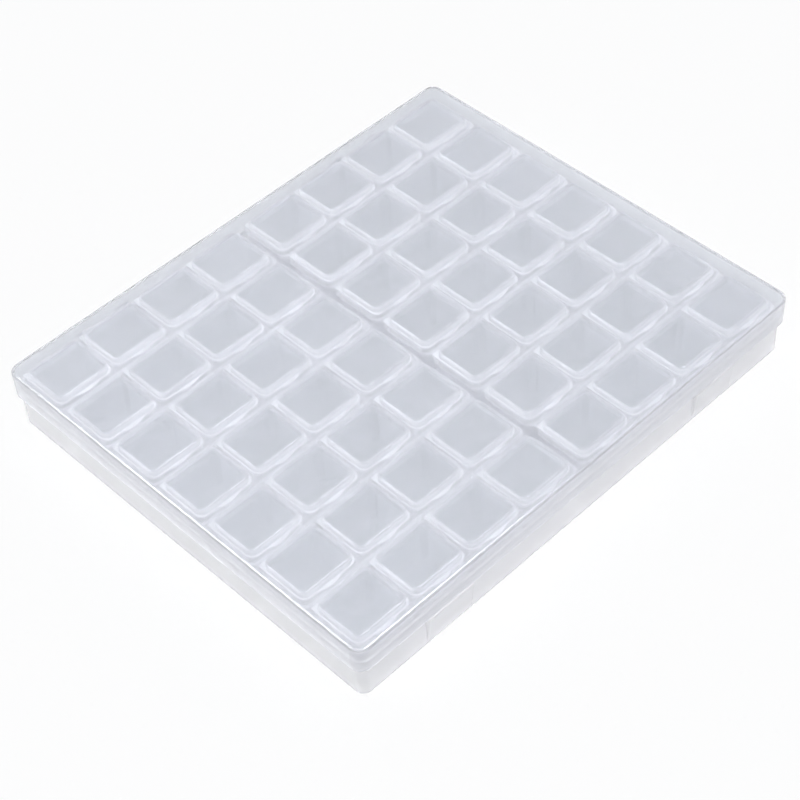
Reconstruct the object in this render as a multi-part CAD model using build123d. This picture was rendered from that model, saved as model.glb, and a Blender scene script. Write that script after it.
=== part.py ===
from build123d import *
import os

# A flat clear bead organizer: a hinged outer case that holds two banks of loose strips of
# cells, every cell with its own flip lid.
#
# All sizes are in millimetres.  X runs along the long side, +Y points to the case hinge,
# +Z is up, and the origin is the middle of the case's underside.

# Cells and strips
cells_per_strip = 4
strips_per_bank = 7
bank_names = ("left", "right")
cell_length = 23.5           # inside of one cell along X
cell_depth = 19.2            # inside of one cell along Y
cell_corner_radius = 2.2     # upright inner corners of a cell
cell_floor_radius = 2.0      # scoop between a cell's walls and its floor
partition = 1.4              # wall between two cells of one strip
strip_wall = 1.2             # outer wall of a strip
strip_floor = 1.0
strip_height = 19.4
strip_foot_radius = 0.8      # rounded lower edge of a strip
rim_overhang = 0.5           # how far a strip's top rim stands out from its end and back walls
rim_ledge = 1.9              # how far it stands out in front, under the finger tabs
rim_thickness = 1.2
strip_gap = 0.3              # between two neighbouring strips
bank_gap = 1.6               # between the left and the right bank

# Cell lids
lid_side_gap = 1.3           # between two lids of one strip
lid_flange = 0.8             # thickness of the flat border
lid_seat_gap = 0.1           # between the rim and the border above it
lid_corner_radius = 3.0
lid_front_border = 0.3       # border in front of the raised panel
lid_side_border = 0.55
lid_front_inset = 2.4        # straight front edge behind the rim's front edge
panel_back_inset = 1.3       # raised panel behind which the border runs to the rim's edge
panel_height = 2.5
panel_slope = 0.15           # how far the panel's sides lean in
panel_corner_radius = 3.2
panel_edge_radius = 1.3
panel_wall = 0.9
hollow_radius = 1.6          # upright corners of the hollow under the panel
tab_width = 10.0             # finger tab on the front edge
tab_reach = 1.1
pivot_inset = 0.65           # hinge axis in front of the rim's back edge
plug_thickness = 0.8         # ring that drops into the cell's mouth
plug_depth = 1.0
plug_clearance = 0.3

# Case base
play_length = 0.2            # between the strips and the case's end walls
play_depth = 0.2             # between the strips and the case's long walls
base_wall = 1.0
base_floor = 1.0
base_foot_radius = 1.5
base_edge_radius = 0.3
rim_drop = 2.2               # the base's edge lies this far below the strips' rims

# Case lid
skirt_clearance = 0.4        # between the lid's skirt and the base
skirt_wall = 1.0
skirt_height = 11.0
top_plate = 1.0
headroom = 1.2               # between the cell lids and the underside of the case lid
top_edge_radius = 1.2

# Front latches
latch_width = 21.0
latch_inset = 40.0           # middle of a latch from the end of the case
latch_gap = 0.4              # between a latch and the skirt above it
latch_proud = 0.25           # how far a latch stands out in front of the skirt
latch_toe = 0.3              # how far its lower end stands out from the wall
latch_toe_height = 1.8
latch_end_radius = 1.2
latch_edge_radius = 0.6

# Case hinges
hinge_inset = 43.0           # middle of a hinge from the end of the case
knuckle_width = 14.0
knuckle_radius = 2.2
pin_radius = 1.1
pin_clearance = 0.06
ear_width = 3.0
ear_gap = 0.3
ear_rise = 7.0               # how far an ear climbs the skirt above the hinge axis
web_height = 3.0             # the web that carries a knuckle
web_top = 1.0                # top of the web above the hinge axis
snap_slot = 1.8              # slot through which the pin is pressed into the knuckle

bury = 0.5                   # how deep an added shape reaches into what carries it

# Sizes that follow from the ones above
cell_pitch = cell_length + partition
strip_body_length = (
    cells_per_strip * cell_length + (cells_per_strip - 1) * partition + 2 * strip_wall
)
strip_body_depth = cell_depth + 2 * strip_wall
strip_length = strip_body_length + 2 * rim_overhang
strip_depth = strip_body_depth + rim_overhang + rim_ledge
body_shift = (rim_ledge - rim_overhang) / 2   # cells sit this far behind the rim's middle
strip_pitch = strip_depth + strip_gap
strip_corner_radius = cell_corner_radius + strip_wall
rim_corner_radius = strip_corner_radius + rim_overhang

bank_depth = strips_per_bank * strip_depth + (strips_per_bank - 1) * strip_gap
tray_length = 2 * strip_length + bank_gap + 2 * play_length
tray_depth = bank_depth + 2 * play_depth
tray_corner_radius = rim_corner_radius + max(play_length, play_depth)
base_length = tray_length + 2 * base_wall
base_depth = tray_depth + 2 * base_wall
base_corner_radius = tray_corner_radius + base_wall
case_length = base_length + 2 * (skirt_clearance + skirt_wall)
case_depth = base_depth + 2 * (skirt_clearance + skirt_wall)
case_corner_radius = base_corner_radius + skirt_clearance + skirt_wall

strip_top = base_floor + strip_height
base_height = strip_top - rim_drop
lid_bottom = strip_top + lid_seat_gap
panel_top = lid_bottom + lid_flange + panel_height
ceiling = panel_top + headroom
case_height = ceiling + top_plate
skirt_bottom = case_height - skirt_height

pivot_y = strip_depth / 2 - pivot_inset
pivot_z = lid_bottom + lid_flange / 2
hinge_y = case_depth / 2 + knuckle_radius
hinge_z = case_height / 2    # so that the opened lid lies level with the base


def rounded_block(length, depth, height, radius):
    """Upright block with rounded corners, standing on Z = 0."""
    return extrude(RectangleRounded(length, depth, radius), height)


def lowest_edges(solid):
    return solid.edges().group_by(Axis.Z)[0]


def highest_edges(solid):
    return solid.edges().group_by(Axis.Z)[-1]


def cell_centres():
    """X of each cell's middle, from the middle of its strip."""
    first = -(cells_per_strip - 1) / 2 * cell_pitch
    return [first + number * cell_pitch for number in range(cells_per_strip)]


def bank_centres():
    shift = (strip_length + bank_gap) / 2
    return [-shift, shift]


def row_centres():
    """Y of each strip's middle, from the front row to the back row."""
    first = -(strips_per_bank - 1) / 2 * strip_pitch
    return [first + number * strip_pitch for number in range(strips_per_bank)]


def make_strip():
    """One moulded strip of cells about its rim's middle, standing on Z = 0."""
    body = rounded_block(strip_body_length, strip_body_depth, strip_height, strip_corner_radius)
    body = fillet(lowest_edges(body), strip_foot_radius)
    rim = rounded_block(strip_length, strip_depth, rim_thickness, rim_corner_radius)
    strip = Pos(0, body_shift, 0) * body + Pos(0, 0, strip_height - rim_thickness) * rim
    pocket = rounded_block(cell_length, cell_depth, strip_height, cell_corner_radius)
    pocket = fillet(lowest_edges(pocket), cell_floor_radius)
    for x in cell_centres():
        strip -= Pos(x, body_shift, strip_floor) * pocket
    return strip


def drafted_panel(length, depth, height, radius, slope):
    """Block whose sides lean in by slope over its height, standing on Z = 0."""
    foot = RectangleRounded(length, depth, radius)
    crown = RectangleRounded(length - 2 * slope, depth - 2 * slope, radius - slope / 2)
    return loft([foot, Pos(0, 0, height) * crown])


def make_cell_lid():
    """One flip lid in the middle of its strip's rim, at its height in the closed case."""
    half_width = (cell_pitch - lid_side_gap) / 2
    front = -strip_depth / 2 + lid_front_inset
    border_depth = pivot_y - front
    flange_outline = Pos(0, (pivot_y + front) / 2) * Rectangle(2 * half_width, border_depth)
    front_corners = flange_outline.vertices().group_by(Axis.Y)[0]
    flange_outline = fillet(front_corners, lid_corner_radius)
    tab_edge = ThreePointArc(
        (-tab_width / 2, front), (0, front - tab_reach), (tab_width / 2, front)
    )
    tab_outline = make_face(tab_edge + Line(tab_edge @ 1, tab_edge @ 0))
    flange = extrude(Pos(0, 0, lid_bottom) * (flange_outline + tab_outline), lid_flange)
    bead = Cylinder(lid_flange / 2, 2 * half_width, rotation=(0, 90, 0))
    lid = flange + Pos(0, pivot_y, pivot_z) * bead

    crown_front = front + lid_front_border
    crown_back = strip_depth / 2 - panel_back_inset
    crown_depth = crown_back - crown_front
    crown_length = 2 * (half_width - lid_side_border)
    panel_y = (crown_front + crown_back) / 2
    panel = drafted_panel(
        crown_length + 2 * panel_slope,
        crown_depth + 2 * panel_slope,
        panel_height,
        panel_corner_radius + panel_slope / 2,
        panel_slope,
    )
    panel = fillet(highest_edges(panel), panel_edge_radius)
    lid += Pos(0, panel_y, lid_bottom + lid_flange) * panel

    plug_length = cell_length - 2 * plug_clearance
    plug_span = cell_depth - 2 * plug_clearance
    plug_radius = cell_corner_radius - plug_clearance
    mouth_length = plug_length - 2 * plug_thickness
    mouth_span = plug_span - 2 * plug_thickness
    mouth_radius = plug_radius - plug_thickness
    ring = rounded_block(plug_length, plug_span, plug_depth, plug_radius)
    ring -= rounded_block(mouth_length, mouth_span, plug_depth, mouth_radius)
    lid += Pos(0, body_shift, lid_bottom - plug_depth) * ring

    hollow = rounded_block(
        min(crown_length - 2 * panel_wall, mouth_length),
        min(crown_depth - 2 * panel_wall, mouth_span),
        panel_height + lid_flange - panel_wall,
        hollow_radius,
    )
    lid -= Pos(0, body_shift, lid_bottom) * hollow
    return lid


def along_x(profile, x, width):
    """Push a profile drawn in Y and Z out to both sides of x."""
    return extrude(Plane.YZ.offset(x) * profile, width / 2, both=True)


def make_latch(x):
    """Wedge under the skirt that the thumb presses against, rounded at both ends."""
    front = -base_depth / 2
    reach = skirt_clearance + skirt_wall + latch_proud
    top = skirt_bottom - latch_gap
    profile = Polygon(
        (front + bury, top),
        (front - reach, top),
        (front - latch_toe, latch_toe_height),
        (front + bury, latch_toe_height),
        align=None,
    )
    wedge = along_x(profile, x, latch_width)
    end_edges = wedge.edges().filter_by(Axis.X, reverse=True)
    slanted_edges = end_edges.sort_by(lambda edge: edge.center().Y)[:2]
    wedge = fillet(slanted_edges, latch_end_radius)
    ledge = wedge.faces().sort_by(Axis.Z)[-1]
    ledge_rim = [edge for edge in ledge.edges() if edge.center().Y < front - latch_edge_radius]
    return fillet(ledge_rim, latch_edge_radius)


def make_knuckle(x):
    """Clip on the base's back wall that holds the lid's hinge pin."""
    back = base_depth / 2
    barrel = Pos(hinge_y, hinge_z) * Circle(knuckle_radius)
    web = Polygon(
        (back - bury, hinge_z + web_top),
        (hinge_y, hinge_z + web_top),
        (hinge_y, hinge_z + web_top - web_height),
        (back - bury, hinge_z + web_top - web_height),
        align=None,
    )
    bore = Pos(hinge_y, hinge_z) * Circle(pin_radius + pin_clearance)
    slot_reach = knuckle_radius + pin_radius
    slot = Pos(hinge_y, hinge_z - slot_reach / 2) * Rectangle(snap_slot, slot_reach)
    return along_x(barrel + web - bore - slot, x, knuckle_width)


def make_case_base():
    """Open tray with two latches in front and two hinge clips behind."""
    shell = rounded_block(base_length, base_depth, base_height, base_corner_radius)
    shell = fillet(lowest_edges(shell), base_foot_radius)
    shell = fillet(highest_edges(shell), base_edge_radius)
    for side in (-1, 1):
        shell += make_latch(side * (case_length / 2 - latch_inset))
        shell += make_knuckle(side * (case_length / 2 - hinge_inset))
    tray = rounded_block(tray_length, tray_depth, base_height, tray_corner_radius)
    return shell - Pos(0, 0, base_floor) * tray


def make_ears(x):
    """Two ears on the lid's skirt and the hinge pin between them."""
    back = case_depth / 2
    profile = Polygon(
        (back - bury, skirt_bottom),
        (back, hinge_z),
        (hinge_y + knuckle_radius, hinge_z),
        (hinge_y + knuckle_radius, skirt_bottom),
        (back, hinge_z + ear_rise),
        (back - bury, hinge_z + ear_rise),
        align=None,
    )
    profile += Pos(hinge_y, hinge_z) * Circle(knuckle_radius)
    offset = knuckle_width / 2 + ear_gap + ear_width / 2
    pin_length = knuckle_width + 2 * (ear_gap + ear_width)
    ears = along_x(profile, x - offset, ear_width) + along_x(profile, x + offset, ear_width)
    return ears + along_x(Pos(hinge_y, hinge_z) * Circle(pin_radius), x, pin_length)


def make_case_lid():
    """Clear cover whose skirt drops over the base."""
    shell = rounded_block(case_length, case_depth, skirt_height, case_corner_radius)
    shell = fillet(highest_edges(shell), top_edge_radius)
    inside = rounded_block(
        case_length - 2 * skirt_wall,
        case_depth - 2 * skirt_wall,
        skirt_height - top_plate,
        case_corner_radius - skirt_wall,
    )
    cover = Pos(0, 0, skirt_bottom) * (shell - inside)
    for side in (-1, 1):
        cover += make_ears(side * (case_length / 2 - hinge_inset))
    return cover


def write(shape, name):
    export_step(shape, f"parts/{name}.step")


def main():
    os.makedirs("parts", exist_ok=True)
    write(make_case_base(), "case_base")
    write(make_case_lid(), "case_lid")
    strip = make_strip()
    cell_lid = make_cell_lid()
    for bank, bank_x in enumerate(bank_centres()):
        bank_strips = [Pos(bank_x, y, base_floor) * strip for y in row_centres()]
        write(Compound(children=bank_strips), f"cell_strips_{bank_names[bank]}")
        for row, y in enumerate(row_centres()):
            for cell, cell_x in enumerate(cell_centres()):
                column = bank * cells_per_strip + cell + 1
                name = f"cell_lid_row_{row + 1}_column_{column}"
                write(Pos(bank_x + cell_x, y, 0) * cell_lid, name)
    print(f"case {case_length:.1f} x {case_depth:.1f} x {case_height:.1f} mm")


main()
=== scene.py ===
import math

import bmesh
import bpy
import numpy as np
from mathutils import Matrix, Vector


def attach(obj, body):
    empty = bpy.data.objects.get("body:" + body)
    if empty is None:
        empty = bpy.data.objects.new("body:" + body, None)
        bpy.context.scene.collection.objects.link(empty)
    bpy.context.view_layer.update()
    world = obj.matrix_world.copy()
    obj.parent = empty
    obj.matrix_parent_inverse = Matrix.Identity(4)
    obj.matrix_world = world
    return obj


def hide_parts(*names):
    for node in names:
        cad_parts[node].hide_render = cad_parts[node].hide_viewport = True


mm = 0.001

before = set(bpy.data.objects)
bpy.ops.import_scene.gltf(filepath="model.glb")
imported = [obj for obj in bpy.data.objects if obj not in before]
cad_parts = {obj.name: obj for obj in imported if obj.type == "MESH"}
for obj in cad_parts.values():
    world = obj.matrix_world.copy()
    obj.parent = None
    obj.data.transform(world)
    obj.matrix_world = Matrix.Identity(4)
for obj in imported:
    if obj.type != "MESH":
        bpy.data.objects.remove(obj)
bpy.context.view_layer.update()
print("frame loaded,", len(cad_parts), "nodes")

scene = bpy.context.scene
scene.view_settings.view_transform = "Standard"
scene.cycles.max_bounces = 48  # a ray crosses many thin clear walls
scene.cycles.diffuse_bounces = 8
scene.cycles.glossy_bounces = 24
scene.cycles.transmission_bounces = 32
scene.cycles.transparent_max_bounces = 48


def linearColour(hexColour):
    # sRGB hex to the linear values that shaders take
    parts = [int(hexColour[i : i + 2], 16) / 255 for i in (1, 3, 5)]
    return [p / 12.92 if p <= 0.04045 else ((p + 0.055) / 1.055) ** 2.4 for p in parts] + [1]


def addNode(tree, kind, inputs=None, **settings):
    # one node with its settings; an input takes a value or another node's output
    node = tree.nodes.new(kind)
    for name, value in settings.items():
        setattr(node, name, value)
    for name, value in (inputs or {}).items():
        if isinstance(value, bpy.types.NodeSocket):
            tree.links.new(value, node.inputs[name])
        else:
            node.inputs[name].default_value = value
    return node


# outlines and wall sections are in millimetres, and so is every mesh until it becomes an object
def roundedOutline(length, depth, radius, steps, centre=(0, 0), frontCuts=0, backRadius=None):
    # points round a rounded rectangle, anticlockwise, and their outward normals
    points, normals = [], []
    for corner, (sideX, sideY) in enumerate(((1, 1), (-1, 1), (-1, -1), (1, -1))):
        bend = radius if sideY < 0 or backRadius is None else backRadius
        cornerX = sideX * (length / 2 - bend)
        cornerY = sideY * (depth / 2 - bend)
        for step in range(steps + 1):
            angle = math.radians(90 * (corner + step / steps))
            normal = (math.cos(angle), math.sin(angle))
            points.append((cornerX + bend * normal[0], cornerY + bend * normal[1]))
            normals.append(normal)
        if corner == 2:
            for cut in range(1, frontCuts + 1):
                points.append((cornerX * (1 - 2 * cut / (frontCuts + 1)), -depth / 2))
                normals.append((0, -1))
    return np.array(points) + np.array(centre), np.array(normals)


def roundedSection(corners, steps=4):
    # corners are (offset from the outline, height, radius); gives offsets and heights
    line = []
    for number, (offset, height, radius) in enumerate(corners):
        if radius == 0:
            line.append((offset, height))
            continue
        here = Vector((offset, height))
        back = (Vector(corners[number - 1][:2]) - here).normalized()
        ahead = (Vector(corners[number + 1][:2]) - here).normalized()
        halfAngle = back.angle(ahead) / 2
        middle = here + (back + ahead).normalized() * radius / math.sin(halfAngle)
        reach = radius / math.tan(halfAngle)
        start = math.atan2(*reversed(here + back * reach - middle))
        end = math.atan2(*reversed(here + ahead * reach - middle))
        turn = (end - start + math.pi) % (2 * math.pi) - math.pi
        for step in range(steps + 1):
            angle = start + turn * step / steps
            line.append((middle.x + radius * math.cos(angle), middle.y + radius * math.sin(angle)))
    return line


def ringsAround(mesh, outline, section):
    # the outline once for each point of the section, moved out and up by it
    points, normals = outline
    return [
        [mesh.verts.new((x + nx * offset, y + ny * offset, z)) for (x, y), (nx, ny) in zip(points, normals)]
        for offset, z in section
    ]


def skinRings(mesh, rings):
    # quads between neighbouring rings
    for upper, lower in zip(rings, rings[1:]):
        count = len(upper)
        for here in range(count):
            ahead = (here + 1) % count
            mesh.faces.new((upper[here], lower[here], lower[ahead], upper[ahead]))


def closeRings(mesh, rings):
    # the first and last ring each get a flat face
    mesh.faces.new(rings[0])
    mesh.faces.new(list(reversed(rings[-1])))


def meshObject(name, mesh):
    # a bmesh in millimetres becomes an object in metres
    bmesh.ops.recalc_face_normals(mesh, faces=mesh.faces)
    mesh.transform(Matrix.Scale(mm, 4))
    data = bpy.data.meshes.new(name)
    mesh.to_mesh(data)
    mesh.free()
    data.shade_smooth()
    piece = bpy.data.objects.new(name, data)
    scene.collection.objects.link(piece)
    return piece


def plainMesh(piece):
    # what the modifiers make becomes the piece's own mesh
    depsgraph = bpy.context.evaluated_depsgraph_get()
    made = bpy.data.meshes.new_from_object(piece.evaluated_get(depsgraph), depsgraph=depsgraph)
    piece.modifiers.clear()
    piece.data = made
    return piece


def hardenFlats(piece, angle=40):
    # flat faces keep flat shading beside their rounded edges
    piece.data.set_sharp_from_angle(angle=math.radians(angle))
    weighted = piece.modifiers.new("Flats", "WEIGHTED_NORMAL")
    weighted.keep_sharp = True
    weighted.weight = 100
    return plainMesh(piece)


def prism(mesh, profile, left, right):
    # a profile in Y and Z pushed along X
    near = [mesh.verts.new((left, y, z)) for y, z in profile]
    far = [mesh.verts.new((right, y, z)) for y, z in profile]
    count = len(profile)
    faces = [mesh.faces.new(near), mesh.faces.new(list(reversed(far)))]
    for here in range(count):
        ahead = (here + 1) % count
        faces.append(mesh.faces.new((near[here], far[here], far[ahead], near[ahead])))
    return faces


def unite(piece, others):
    # solids that run into the piece become one skin with it
    for other in others:
        joined = piece.modifiers.new("Union", "BOOLEAN")
        joined.operation, joined.solver, joined.object = "UNION", "EXACT", other
    plainMesh(piece)
    for other in others:
        bpy.data.objects.remove(other)
    return piece


# each resin: the tint that light keeps in passing through, and the milk that it scatters back; the paler
# second tint and milk are painted on steep walls and on rims outside the panes as a painted sheen
caseLidResin = {
    "tint": "#EDEFF2",
    "paintedSheenTint": "#F3F4F7",
    "milk": "#D9DBE0",
    "paintedSheenMilk": "#E6E7EB",
    "paneHeights": (20, 27),  # level faces between these are panes
    "haze": (0.08, 0.25),  # in the panes and in the steep walls
    "roughness": (0.1, 0.16),  # from the shiniest to the dullest spot
    "grain": 6.7,  # mm between the ripples of the skin
    "ripple": 0.004,  # mm of height
    "ior": 1.49,
}
caseBaseResin = {
    "tint": "#F5F6F7",
    "paintedSheenTint": "#FCFCFD",
    "milk": "#EDEDEF",
    "paintedSheenMilk": "#F3F3F4",
    "paneHeights": (-1, 3),
    "haze": (0.4, 0.4),
    "roughness": (0.15, 0.22),
    "grain": 6.7,  # mm between the ripples of the skin
    "ripple": 0.004,
    "ior": 1.49,
}
flipLidResin = {
    "tint": "#EEEFF1",
    "paintedSheenTint": "#FDFDFE",
    "milk": "#CACBCF",
    "paintedSheenMilk": "#FBFBFD",
    "paneHeights": (22, 25),
    "haze": (0.3, 0.38),
    "roughness": (0.04, 0.1),
    "grain": 3.3,
    "ripple": 0.01,
    "ior": 1.49,
}
cellStripResin = {
    "tint": "#ECEDEF",
    "paintedSheenTint": "#FDFDFE",
    "milk": "#CACBCE",
    "paintedSheenMilk": "#F0F0F3",
    "paneHeights": (0, 5),
    "haze": (0.2, 0.25),
    "roughness": (0.06, 0.12),
    "grain": 3.3,
    "ripple": 0.01,
    "ior": 1.49,
}


steepToLevel = (0.45, 0.95)  # how squarely a face looks up or down, from a wall to a pane
grainSpread = (0.3, 0.7)  # where most of a noise's values lie
lampTint = "#F8F8F9"  # what one skin leaves of the light that lamps send through it


def clearPlastic(name, finish):
    # clear resin with a share of milkiness; lamps shine straight through, so that what is inside is lit
    material = bpy.data.materials.new(name)
    material.use_nodes = True
    tree = material.node_tree
    tree.nodes.clear()
    place = addNode(tree, "ShaderNodeTexCoord")

    # steep walls, and borders and rims outside the pane heights, are painted paler: partly the resin's
    # whiteness adding up along a wall seen lengthwise, partly a painted sheen that stands for their bright
    # edges and reflections
    lean = addNode(tree, "ShaderNodeSeparateXYZ", {0: place.outputs["Normal"]})
    upright = addNode(tree, "ShaderNodeMath", {0: lean.outputs["Z"]}, operation="ABSOLUTE")
    level = addNode(
        tree,
        "ShaderNodeMapRange",
        {"Value": upright.outputs[0], "From Min": steepToLevel[0], "From Max": steepToLevel[1]},
        interpolation_type="SMOOTHSTEP",
    )
    low, high = finish["paneHeights"]  # borders and rims are thicker than the panes, and are painted whiter too as a painted sheen
    height = addNode(tree, "ShaderNodeSeparateXYZ", {0: place.outputs["Object"]})
    inPane = addNode(
        tree,
        "ShaderNodeMath",
        {0: height.outputs["Z"], 1: (low + high) / 2 * mm, 2: (high - low) / 2 * mm},
        operation="COMPARE",
    )
    pane = addNode(tree, "ShaderNodeMath", {0: level.outputs[0], 1: inPane.outputs[0]}, operation="MULTIPLY")
    colours = []
    for steep, flat in (("paintedSheenTint", "tint"), ("paintedSheenMilk", "milk")):
        ends = {0: pane.outputs[0], 6: linearColour(finish[steep]), 7: linearColour(finish[flat])}
        colours.append(addNode(tree, "ShaderNodeMix", ends, data_type="RGBA").outputs[2])

    # the moulded skin is not polished evenly and ripples by up to ten microns, every few millimetres
    grain = addNode(
        tree,
        "ShaderNodeTexNoise",
        {"Vector": place.outputs["Object"], "Scale": 1000 / finish["grain"], "Detail": 3.0, "Roughness": 0.5},
    )
    gloss = addNode(
        tree,
        "ShaderNodeMapRange",
        {
            "Value": grain.outputs[0],
            "From Min": grainSpread[0],
            "From Max": grainSpread[1],
            "To Min": finish["roughness"][0],
            "To Max": finish["roughness"][1],
        },
    )
    ripple = addNode(
        tree,
        "ShaderNodeBump",
        {"Height": grain.outputs[0], "Strength": 1.0, "Distance": finish["ripple"] * mm},
    )
    skin = {"Roughness": gloss.outputs[0], "IOR": finish["ior"], "Normal": ripple.outputs[0]}
    clear = addNode(
        tree, "ShaderNodeBsdfPrincipled", {"Base Color": colours[0], "Transmission Weight": 1.0, **skin}
    )
    milk = addNode(tree, "ShaderNodeBsdfPrincipled", {"Base Color": colours[1], **skin})
    # the milk share also rises on steep walls and rims, where the milk is painted paler as a painted sheen
    haze = addNode(
        tree,
        "ShaderNodeMapRange",
        {"Value": pane.outputs[0], "To Min": finish["haze"][1], "To Max": finish["haze"][0]},
    )
    plastic = addNode(
        tree, "ShaderNodeMixShader", {0: haze.outputs[0], 1: clear.outputs[0], 2: milk.outputs[0]}
    )
    path = addNode(tree, "ShaderNodeLightPath")
    passed = addNode(tree, "ShaderNodeBsdfTransparent", {"Color": linearColour(lampTint)})
    shown = addNode(
        tree,
        "ShaderNodeMixShader",
        {0: path.outputs["Is Shadow Ray"], 1: plastic.outputs[0], 2: passed.outputs[0]},
    )
    addNode(tree, "ShaderNodeOutputMaterial", {"Surface": shown.outputs[0]})
    return material


# glossy clear sheet: the cells show through it, and only its edges draw white and dark lines; its skirt is
# painted a shade paler, a painted sheen
glossyCover = clearPlastic("clearMouldedPolypropylene", caseLidResin)
# satin wall that lets light in but blurs what stands behind it to an even pale grey; its walls are painted
# paler than its floor, a painted sheen
satinTray = clearPlastic("satinMouldedPolypropylene", caseBaseResin)
# thin glossy caps: cool grey panels with bright rounded edges, lit partly by the glint lamps and partly a
# painted sheen on their sides and borders
lidMaterial = clearPlastic("thinMouldedPolypropylene", flipLidResin)
# deeper cells of the same milk, whose walls draw the paler lines between the lids; the walls and rims are
# painted paler, a painted sheen
stripMaterial = clearPlastic("naturalMouldedPolypropylene", cellStripResin)


# flip lid of one cell
flipLid = {
    "crownLength": 22.5,
    "crownFront": -9.15,  # from the middle of the strip's rim
    "crownBack": 10.7,
    "crownRadius": 3.2,
    "crownEdge": 1.3,
    "crownLap": 1.6,  # from the crown's side in to its flat top face
    "panelTop": 23.8,
    "slope": 0.15,  # the crown's side leans out by this
    "borderTop": 21.3,
    "borderBottom": 20.5,
    "borderLength": 23.6,
    "borderFront": -9.6,
    "borderBack": 11.75,
    "borderRadius": 3.0,
    "hingeRadius": 0.5,
    "borderEdge": 0.2,
    "borderLap": 0.25,
    "tabWidth": 10.0,
    "tabReach": 1.1,
    "cellMiddle": 0.7,
    "plugLength": 22.9,
    "plugDepth": 18.6,
    "plugRadius": 1.9,
    "plugBottom": 19.5,
    "plugWall": 0.8,
    "plugEdge": 0.2,
    "hollowLength": 20.7,
    "hollowDepth": 17.0,
    "hollowRadius": 1.6,
    "hollowEdge": 0.5,
    "hollowLap": 1.0,
    "wall": 0.9,
    "cornerSteps": 6,
    "frontCuts": 15,
}


def makeFlipLid(size):
    mesh = bmesh.new()
    steps, cuts = size["cornerSteps"], size["frontCuts"]
    crown = roundedOutline(
        size["crownLength"],
        size["crownBack"] - size["crownFront"],
        size["crownRadius"],
        steps,
        (0, (size["crownBack"] + size["crownFront"]) / 2),
        cuts,
    )
    border = roundedOutline(
        size["borderLength"],
        size["borderBack"] - size["borderFront"],
        size["borderRadius"],
        steps,
        (0, (size["borderBack"] + size["borderFront"]) / 2),
        cuts,
        size["hingeRadius"],
    )
    for point, normal in zip(*border):  # the finger tab bows the front edge outwards
        if normal[1] == -1 and abs(point[0]) < size["tabWidth"] / 2:
            point[1] -= size["tabReach"] * (1 - (2 * point[0] / size["tabWidth"]) ** 2)
    middle = (0, size["cellMiddle"])
    plug = roundedOutline(size["plugLength"], size["plugDepth"], size["plugRadius"], steps, middle, cuts)
    cavity = roundedOutline(
        size["hollowLength"], size["hollowDepth"], size["hollowRadius"], steps, middle, cuts
    )
    top, shelf, under = size["panelTop"], size["borderTop"], size["borderBottom"]
    ceiling = top - size["wall"]
    panel = roundedSection(
        [(-size["crownLap"], top, 0), (0, top, size["crownEdge"]), (size["slope"], shelf, 0)],
        steps=6,
    )
    edge = roundedSection(
        [
            (-size["borderLap"], shelf, 0),
            (0, shelf, size["borderEdge"]),
            (0, under, size["borderEdge"]),
            (-size["borderLap"], under, 0),
        ],
        steps=3,
    )[1:]
    ring = roundedSection(
        [
            (0, under, 0),
            (0, size["plugBottom"], size["plugEdge"]),
            (-size["plugWall"], size["plugBottom"], size["plugEdge"]),
            (-size["plugWall"], under, 0),
        ],
        steps=2,
    )
    hollow = roundedSection(
        [(0, under, 0), (0, ceiling, size["hollowEdge"]), (-size["hollowLap"], ceiling, 0)],
        steps=3,
    )
    rings = ringsAround(mesh, crown, panel)
    rings += ringsAround(mesh, border, edge)
    rings += ringsAround(mesh, plug, ring)
    rings += ringsAround(mesh, cavity, hollow)
    skinRings(mesh, rings)
    closeRings(mesh, rings)
    return meshObject("flipLidPattern", mesh)


lidPattern = makeFlipLid(flipLid)
print("flip lid pattern,", len(lidPattern.data.polygons), "faces")


# strip of four cells
cellStrip = {
    "cells": 4,
    "cellPitch": 24.9,
    "mouthLength": 23.5,
    "mouthDepth": 19.2,
    "mouthMiddle": 0.7,  # from the middle of the rim
    "mouthRadius": 2.2,
    "mouthEdge": 0.3,
    "scoop": 2.0,  # radius between a cell's walls and floor
    "rimLength": 101.6,
    "rimDepth": 24.0,
    "rimRadius": 3.9,
    "rimEdge": 0.3,
    "rimThickness": 1.2,
    "rimUnderEdge": 0.25,
    "rimLap": 0.4,
    "rimOverhang": 0.5,
    "rimLedge": 1.9,  # overhang in front, under the finger tabs
    "top": 20.4,
    "cellFloor": 2.0,
    "foot": 1.05,  # a hair above the tray, since clear walls that touch turn dark
    "footRadius": 0.8,
    "footLap": 1.2,
    "cornerSteps": 6,  # even, so that a tile reaches its square corner
}


def tileOutline(size, left, right, steps):
    # the top face round one cell, out to its neighbours or to the strip's rounded end
    radius = size["rimRadius"] - size["rimEdge"]
    cornerY = size["rimDepth"] / 2 - size["rimEdge"] - radius
    points = []
    for corner, (sideX, sideY) in enumerate(((1, 1), (-1, 1), (-1, -1), (1, -1))):
        edgeX = right if sideX > 0 else left
        atStripEnd = edgeX > size["cellPitch"] / 2 + mm
        for step in range(steps + 1):
            angle = math.radians(90 * (corner + step / steps))
            away = Vector((math.cos(angle), math.sin(angle)))
            if not atStripEnd:  # square where it meets the next tile
                away /= max(abs(away.x), abs(away.y))
            points.append((sideX * (edgeX - radius) + radius * away.x, sideY * cornerY + radius * away.y))
    return np.array(points)


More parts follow.
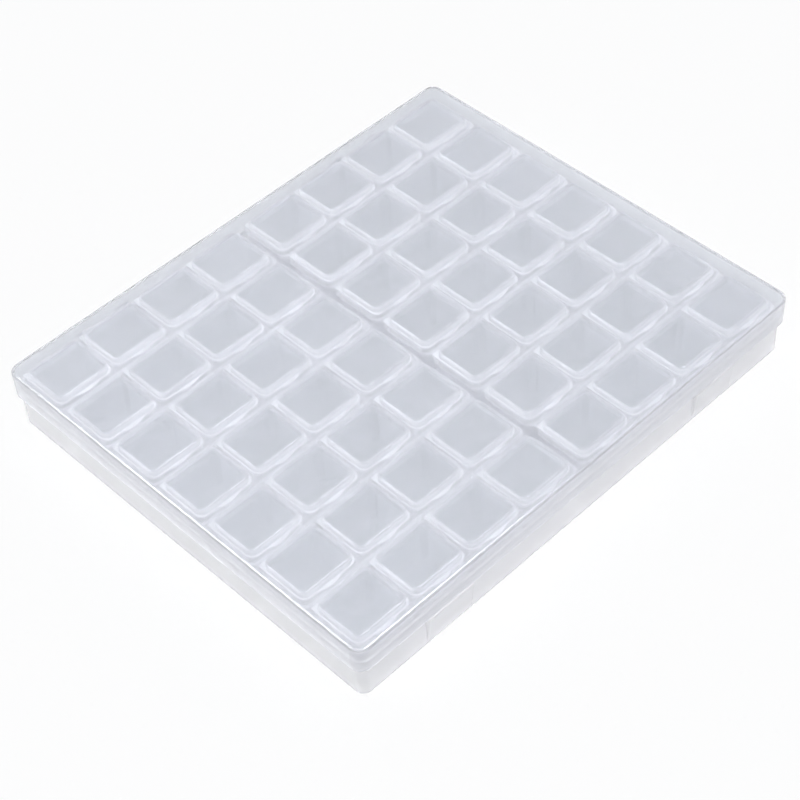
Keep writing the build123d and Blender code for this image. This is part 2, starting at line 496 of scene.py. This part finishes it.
def makeCellStrip(size):
    mesh = bmesh.new()
    steps = size["cornerSteps"]
    halfPitch = size["cellPitch"] / 2
    last = size["rimLength"] / 2 - size["rimEdge"] - (size["cells"] - 1) * halfPitch
    pocket = roundedSection(
        [
            (size["mouthEdge"], size["top"], 0),
            (0, size["top"], size["mouthEdge"]),
            (0, size["cellFloor"], size["scoop"]),
            (-size["scoop"], size["cellFloor"], 0),
        ],
        steps=5,
    )[1:-1]
    for cell in range(size["cells"]):
        middle = (cell - (size["cells"] - 1) / 2) * size["cellPitch"]
        left = last if cell == 0 else halfPitch
        right = last if cell == size["cells"] - 1 else halfPitch
        tile = tileOutline(size, left, right, steps) + np.array((middle, 0))
        mouth = roundedOutline(
            size["mouthLength"], size["mouthDepth"], size["mouthRadius"], steps, (middle, size["mouthMiddle"])
        )
        rings = [[mesh.verts.new((x, y, size["top"])) for x, y in tile]]
        rings += ringsAround(mesh, mouth, pocket)
        skinRings(mesh, rings)
        mesh.faces.new(rings[-1])
    bmesh.ops.remove_doubles(mesh, verts=mesh.verts, dist=0.001)

    # the rim and the outer wall hang from the tiles' common border
    border = sorted(
        {vert for edge in mesh.edges if edge.is_boundary for vert in edge.verts},
        key=lambda vert: math.atan2(vert.co.y, vert.co.x),
    )
    inset = size["rimEdge"]
    core = (size["rimLength"] / 2 - size["rimRadius"], size["rimDepth"] / 2 - size["rimRadius"])
    points, normals = [], []
    for vert in border:
        away = Vector((max(abs(vert.co.x) - core[0], 0), max(abs(vert.co.y) - core[1], 0))).normalized()
        normal = Vector((math.copysign(away.x, vert.co.x), math.copysign(away.y, vert.co.y)))
        normals.append(normal)
        points.append(vert.co.xy + normal * inset)
    points, normals = np.array(points), np.array(normals)
    ledge = np.array([(0, size["rimLedge"] - size["rimOverhang"]) if y < 0 else (0, 0) for x, y in points])
    wall, underRim = -size["rimOverhang"], size["top"] - size["rimThickness"]
    rim = roundedSection(
        [
            (-inset, size["top"], 0),
            (0, size["top"], inset),
            (0, underRim, size["rimUnderEdge"]),
            (-size["rimLap"], underRim, 0),
        ]
    )
    body = roundedSection(
        [
            (wall, underRim, 0),
            (wall, size["foot"], size["footRadius"]),
            (wall - size["footLap"], size["foot"], 0),
        ]
    )
    rings = [border] + ringsAround(mesh, (points, normals), rim[1:])
    rings += ringsAround(mesh, (points + ledge, normals), body)
    skinRings(mesh, rings)
    mesh.faces.new(rings[-1])
    return meshObject("cellStripPattern", mesh)


stripPattern = makeCellStrip(cellStrip)
print("strip pattern,", len(stripPattern.data.polygons), "faces")


# case base: a tray with two latches in front and two hinge clips behind
caseBase = {
    "length": 207.2,
    "depth": 172.2,
    "radius": 3.8,
    "height": 18.2,
    "footRadius": 1.5,
    "edge": 0.3,
    "wall": 1.0,
    "floor": 1.0,
    "floorFillet": 0.6,
    "lap": 3.0,  # from the wall in to where the floor is flat
    "cornerSteps": 8,
}
latch = {
    "middle": 65.0,  # from the middle of the case
    "width": 21.0,
    "top": 14.6,
    "reach": 1.65,
    "toe": 0.3,
    "toeHeight": 1.8,
    "bury": 0.5,  # how deep its root runs into the wall
    "edge": 0.6,
    "endRadius": 1.2,
}
hinge = {
    "middle": 62.0,  # from the middle of the case
    "y": 89.7,
    "z": 13.0,
    "clipWidth": 14.0,
    "clipRadius": 2.2,
    "bore": 1.16,
    "slot": 0.9,  # half of the slot that the pin snaps through
    "bury": 0.5,
    "webTop": 1.0,
    "webBottom": -2.0,
    "earWidth": 3.0,
    "earGap": 0.3,
    "earRise": 7.0,
    "pin": 1.1,
}


def shellPiece(name, size, corners):
    mesh = bmesh.new()
    outline = roundedOutline(size["length"], size["depth"], size["radius"], size["cornerSteps"])
    rings = ringsAround(mesh, outline, roundedSection(corners, steps=5))
    skinRings(mesh, rings)
    closeRings(mesh, rings)
    return meshObject(name, mesh)


def arcPoints(centre, radius, start, end, steps):
    angles = [math.radians(start + (end - start) * step / steps) for step in range(steps + 1)]
    return [(centre[0] + radius * math.cos(a), centre[1] + radius * math.sin(a)) for a in angles]


def makeLatch(size, middle, wallFront):
    mesh = bmesh.new()
    profile = [
        (wallFront + size["bury"], size["top"]),
        (wallFront - size["reach"], size["top"]),
        (wallFront - size["toe"], size["toeHeight"]),
        (wallFront + size["bury"], size["toeHeight"]),
    ]
    prism(mesh, profile, middle - size["width"] / 2, middle + size["width"] / 2)
    front = wallFront - 0.1  # past this an edge stands proud of the wall
    slack = 0.01
    ends = [
        edge
        for edge in mesh.edges
        if all(v.co.y < front for v in edge.verts) and abs(edge.verts[0].co.x - edge.verts[1].co.x) < slack
    ]
    bmesh.ops.bevel(mesh, geom=ends, offset=size["endRadius"], segments=4, profile=0.5, affect="EDGES")
    ledge = [
        edge
        for edge in mesh.edges
        if all(abs(v.co.z - size["top"]) < slack for v in edge.verts)
        and sum(v.co.y for v in edge.verts) / 2 < front
    ]
    bmesh.ops.bevel(mesh, geom=ledge, offset=size["edge"], segments=3, profile=0.5, affect="EDGES")
    return meshObject("latch", mesh)


def makeClip(size, middle, wallBack):
    y, z = size["y"], size["z"]
    bore, rim, slot = size["bore"], size["clipRadius"], size["slot"]
    boreFoot = math.degrees(math.asin(slot / bore))
    rimFoot = math.degrees(math.asin(slot / rim))
    webAngle = 180 - math.degrees(math.asin(size["webTop"] / rim))
    root = wallBack - size["bury"]
    profile = [(root, z + size["webBottom"]), (y - slot, z + size["webBottom"])]
    profile += arcPoints((y, z), bore, 270 - boreFoot, -90 + boreFoot, 16)
    profile += arcPoints((y, z), rim, -90 + rimFoot, webAngle, 16)
    profile += [(root, z + size["webTop"])]
    mesh = bmesh.new()
    prism(mesh, profile, middle - size["clipWidth"] / 2, middle + size["clipWidth"] / 2)
    return meshObject("clip", mesh)


def makeCaseBase():
    size = caseBase
    inner = -size["wall"]
    base = shellPiece(
        "caseBase",
        size,
        [
            (-size["lap"], 0, 0),
            (0, 0, size["footRadius"]),
            (0, size["height"], size["edge"]),
            (inner, size["height"], size["edge"]),
            (inner, size["floor"], size["floorFillet"]),
            (-size["lap"], size["floor"], 0),
        ],
    )
    parts = []
    for side in (-1, 1):
        parts.append(makeLatch(latch, side * latch["middle"], -size["depth"] / 2))
        parts.append(makeClip(hinge, side * hinge["middle"], size["depth"] / 2))
    return hardenFlats(unite(base, parts))


base = makeCaseBase()
print("case base,", len(base.data.polygons), "faces")


# case lid: a cover with a skirt, ears and pins
caseLid = {
    "length": 210.0,
    "depth": 175.0,
    "radius": 4.6,
    "top": 26.0,
    "skirtBottom": 15.0,
    "plate": 1.0,
    "wall": 1.0,
    "topEdge": 1.2,
    "innerEdge": 0.5,
    "skirtEdge": 0.25,
    "lap": 3.0,
    "cornerSteps": 8,
}


def makeEar(size, middle, lidBack, skirtBottom):
    y, z, rim = size["y"], size["z"], size["clipRadius"]
    root, shoulder = lidBack - size["bury"], z + size["earRise"]
    profile = [(root, skirtBottom)]
    profile += arcPoints((y, z), rim, 180, 360, 14)
    profile += [(y + rim, skirtBottom), (lidBack, shoulder), (root, shoulder)]
    mesh = bmesh.new()
    prism(mesh, profile, middle - size["earWidth"] / 2, middle + size["earWidth"] / 2)
    return meshObject("ear", mesh)


def makePin(size, middle):
    mesh = bmesh.new()
    reach = size["clipWidth"] / 2 + size["earGap"] + size["earWidth"] / 2
    prism(mesh, arcPoints((size["y"], size["z"]), size["pin"], 0, 345, 23), middle - reach, middle + reach)
    return meshObject("pin", mesh)


def makeCaseLid():
    size = caseLid
    inner, ceiling = -size["wall"], size["top"] - size["plate"]
    lid = shellPiece(
        "caseLid",
        size,
        [
            (-size["lap"], size["top"], 0),
            (0, size["top"], size["topEdge"]),
            (0, size["skirtBottom"], size["skirtEdge"]),
            (inner, size["skirtBottom"], size["skirtEdge"]),
            (inner, ceiling, size["innerEdge"]),
            (-size["lap"], ceiling, 0),
        ],
    )
    parts = []
    for side in (-1, 1):
        middle = side * hinge["middle"]
        offset = hinge["clipWidth"] / 2 + hinge["earGap"] + hinge["earWidth"] / 2
        for ear in (middle - offset, middle + offset):
            parts.append(makeEar(hinge, ear, size["depth"] / 2, size["skirtBottom"]))
        parts.append(makePin(hinge, middle))
    return hardenFlats(unite(lid, parts))


lid = makeCaseLid()
print("case lid,", len(lid.data.polygons), "faces")


def geometryTree(name, inputs):
    # an empty Geometry Nodes tree with named inputs
    tree = bpy.data.node_groups.new(name, "GeometryNodeTree")
    tree.interface.new_socket("Geometry", in_out="INPUT", socket_type="NodeSocketGeometry")
    for label, kind in inputs.items():
        tree.interface.new_socket(label, in_out="INPUT", socket_type=kind)
    tree.interface.new_socket("Geometry", in_out="OUTPUT", socket_type="NodeSocketGeometry")
    return tree, addNode(tree, "NodeGroupInput").outputs


def finishTree(tree, geometry, material):
    # copies become real mesh and take their plastic
    real = addNode(tree, "GeometryNodeRealizeInstances", {"Geometry": geometry})
    painted = addNode(tree, "GeometryNodeSetMaterial", {"Geometry": real.outputs[0], "Material": material})
    addNode(tree, "NodeGroupOutput", {"Geometry": painted.outputs[0]})
    return tree


def stripRowsTree():
    # a bank of strips, one behind the other
    tree, given = geometryTree(
        "stripRows",
        {
            "Strip": "NodeSocketObject",
            "Strips": "NodeSocketInt",
            "Row Pitch": "NodeSocketFloat",
            "First Row": "NodeSocketVector",
            "Plastic": "NodeSocketMaterial",
        },
    )
    pitch = addNode(tree, "ShaderNodeCombineXYZ", {"Y": given["Row Pitch"]})
    rows = addNode(
        tree,
        "GeometryNodeMeshLine",
        {"Count": given["Strips"], "Start Location": given["First Row"], "Offset": pitch.outputs[0]},
        mode="OFFSET",
    )
    strip = addNode(tree, "GeometryNodeObjectInfo", {"Object": given["Strip"]})
    laid = addNode(
        tree,
        "GeometryNodeInstanceOnPoints",
        {"Points": rows.outputs[0], "Instance": strip.outputs["Geometry"]},
    )
    return finishTree(tree, laid.outputs[0], given["Plastic"])


def seatedLidTree():
    # one lid set over its cell
    tree, given = geometryTree(
        "seatedLid",
        {
            "Lid": "NodeSocketObject",
            "Cell Middle": "NodeSocketVector",
            "Plastic": "NodeSocketMaterial",
        },
    )
    cell = addNode(tree, "GeometryNodeMeshLine", {"Count": 1, "Start Location": given["Cell Middle"]})
    pattern = addNode(tree, "GeometryNodeObjectInfo", {"Object": given["Lid"]})
    seated = addNode(
        tree,
        "GeometryNodeInstanceOnPoints",
        {"Points": cell.outputs[0], "Instance": pattern.outputs["Geometry"]},
    )
    return finishTree(tree, seated.outputs[0], given["Plastic"])


def grown(name, tree, values):
    # a new piece made by a tree, its inputs set before it is first evaluated
    piece = bpy.data.objects.new(name, bpy.data.meshes.new(name))
    scene.collection.objects.link(piece)
    modifier = piece.modifiers.new(tree.name, "NODES")
    modifier.node_group = tree
    for socket in tree.interface.items_tree:
        if socket.in_out == "INPUT" and socket.name in values:
            modifier[socket.identifier] = values[socket.name]
    return hardenFlats(plainMesh(piece))


rows = {"count": 7, "pitch": 24.3, "bankMiddle": 51.6}  # two banks, left and right of the middle
rowFront = -(rows["count"] - 1) / 2 * rows["pitch"]
laidStrips, seatedLid = stripRowsTree(), seatedLidTree()
for bank, side in (("left", -1), ("right", 1)):
    strips = grown(
        bank + "CellStrips",
        laidStrips,
        {
            "Strip": stripPattern,
            "Strips": rows["count"],
            "Row Pitch": rows["pitch"] * mm,
            "First Row": (side * rows["bankMiddle"] * mm, rowFront * mm, 0),
            "Plastic": stripMaterial,
        },
    )
    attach(strips, "base_and_strips")
    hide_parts("cell_strips_" + bank)
print("cell strips laid")

for row in range(rows["count"]):
    for column in range(2 * cellStrip["cells"]):
        bankNumber, place = divmod(column, cellStrip["cells"])
        alongStrip = (place - (cellStrip["cells"] - 1) / 2) * cellStrip["cellPitch"]
        bankMiddle = (2 * bankNumber - 1) * rows["bankMiddle"]
        middle = (bankMiddle + alongStrip, rowFront + row * rows["pitch"])
        node = f"cell_lid_row_{row + 1}_column_{column + 1}"
        cellLid = grown(
            f"flipLid_row_{row + 1}_column_{column + 1}",
            seatedLid,
            {"Lid": lidPattern, "Cell Middle": (middle[0] * mm, middle[1] * mm, 0), "Plastic": lidMaterial},
        )
        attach(cellLid, node)
        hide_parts(node)
print("flip lids seated")

for piece, body, node, plastic in (
    (base, "base_and_strips", "case_base", satinTray),
    (lid, "case_lid", "case_lid", glossyCover),
):
    piece.data.materials.clear()
    piece.data.materials.append(plastic)
    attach(piece, body)
    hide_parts(node)
for pattern in (lidPattern, stripPattern):
    bpy.data.objects.remove(pattern)


# degrees and millimetres; the camera looks at a spot near the middle of the case
shot = {
    "azimuth": -42.21,
    "elevation": 47.44,
    "roll": -3.65,
    "distance": 722.42,
    "lookAt": (-6.56, -4.71, 0),
    "lens": 92.15,
    "clip": (0.05, 20),  # m
}
camera = bpy.data.objects.new("camera", bpy.data.cameras.new("camera"))
scene.collection.objects.link(camera)
scene.camera = camera
turn, rise = math.radians(shot["azimuth"]), math.radians(shot["elevation"])
back = Vector((math.sin(turn) * math.cos(rise), -math.cos(turn) * math.cos(rise), math.sin(rise)))
camera.rotation_mode = "QUATERNION"
camera.location = (Vector(shot["lookAt"]) + back * shot["distance"]) * mm
facing = (-back).to_track_quat("-Z", "Y")
facing.rotate(Matrix.Rotation(math.radians(shot["roll"]), 4, back).to_quaternion())
camera.rotation_quaternion = facing
camera.data.lens = shot["lens"]
camera.data.clip_start, camera.data.clip_end = shot["clip"]


plainWhite = {"Color": linearColour("#FFFFFF"), "Strength": 1.0}
studio = {
    "floorReach": 6,  # m each way
    "floorDrop": 0.0002,  # below the case's feet, so that the faces don't share a plane
    "paper": "#F4F4F4",
    "paperGlow": 0.8,  # share of plain white that views of the floor get; the rest keeps the shadow
    "skyTint": "#F3F5F8",
    "skyStrength": 0.8,
}


def whiteForView(tree, plain, white):
    # rays from the camera and rays that plastic reflects or passes see plain white
    path = addNode(tree, "ShaderNodeLightPath")
    seen = path.outputs["Is Camera Ray"]
    for ray in ("Is Glossy Ray", "Is Transmission Ray"):
        either = {0: seen, 1: path.outputs[ray]}
        seen = addNode(tree, "ShaderNodeMath", either, operation="MAXIMUM").outputs[0]
    return addNode(tree, "ShaderNodeMixShader", {0: seen, 1: plain, 2: white}).outputs[0]


floor = bpy.data.objects.new("floor", bpy.data.meshes.new("floor"))
reach = studio["floorReach"]
corners = [(x * reach, y * reach, -studio["floorDrop"]) for x, y in ((-1, -1), (1, -1), (1, 1), (-1, 1))]
floor.data.from_pydata(corners, [], [(0, 1, 2, 3)])
scene.collection.objects.link(floor)
paper = bpy.data.materials.new("whitePaper")
paper.use_nodes = True
tree = paper.node_tree
tree.nodes.clear()
matt = addNode(tree, "ShaderNodeBsdfDiffuse", {"Color": linearColour(studio["paper"])}).outputs[0]
glow = addNode(tree, "ShaderNodeEmission", plainWhite).outputs[0]
litPaper = addNode(tree, "ShaderNodeMixShader", {0: studio["paperGlow"], 1: matt, 2: glow}).outputs[0]
addNode(tree, "ShaderNodeOutputMaterial", {"Surface": whiteForView(tree, matt, litPaper)})
floor.data.materials.append(paper)

world = bpy.data.worlds.new("studio")
scene.world = world
world.use_nodes = True
tree = world.node_tree
tree.nodes.clear()
sky = {"Color": linearColour(studio["skyTint"]), "Strength": studio["skyStrength"]}
dim = addNode(tree, "ShaderNodeBackground", sky).outputs[0]
white = addNode(tree, "ShaderNodeBackground", plainWhite).outputs[0]
addNode(tree, "ShaderNodeOutputWorld", {"Surface": whiteForView(tree, dim, white)})

# places and sizes in metres, power in watts; glint lamps only show in gloss and through clear plastic
lamps = {
    "overhead": {"at": (-0.35, -0.3, 1.5), "size": (1.2, 1.2), "power": 8, "glintOnly": False},
    "rightGlint": {"at": (0.3, -0.45, 1.2), "size": (0.5, 0.5), "power": 12, "glintOnly": True},
    "leftGlint": {"at": (-0.85, 0.6, 0.8), "size": (0.5, 0.5), "power": 12, "glintOnly": True},
}
for name, lamp in lamps.items():
    light = bpy.data.lights.new(name, "AREA")
    light.shape, light.size, light.size_y, light.energy = "RECTANGLE", *lamp["size"], lamp["power"]
    holder = bpy.data.objects.new(name, light)
    holder.location = lamp["at"]
    holder.rotation_mode = "QUATERNION"
    holder.rotation_quaternion = (-Vector(lamp["at"])).to_track_quat("-Z", "Y")
    holder.visible_diffuse = not lamp["glintOnly"]
    scene.collection.objects.link(holder)
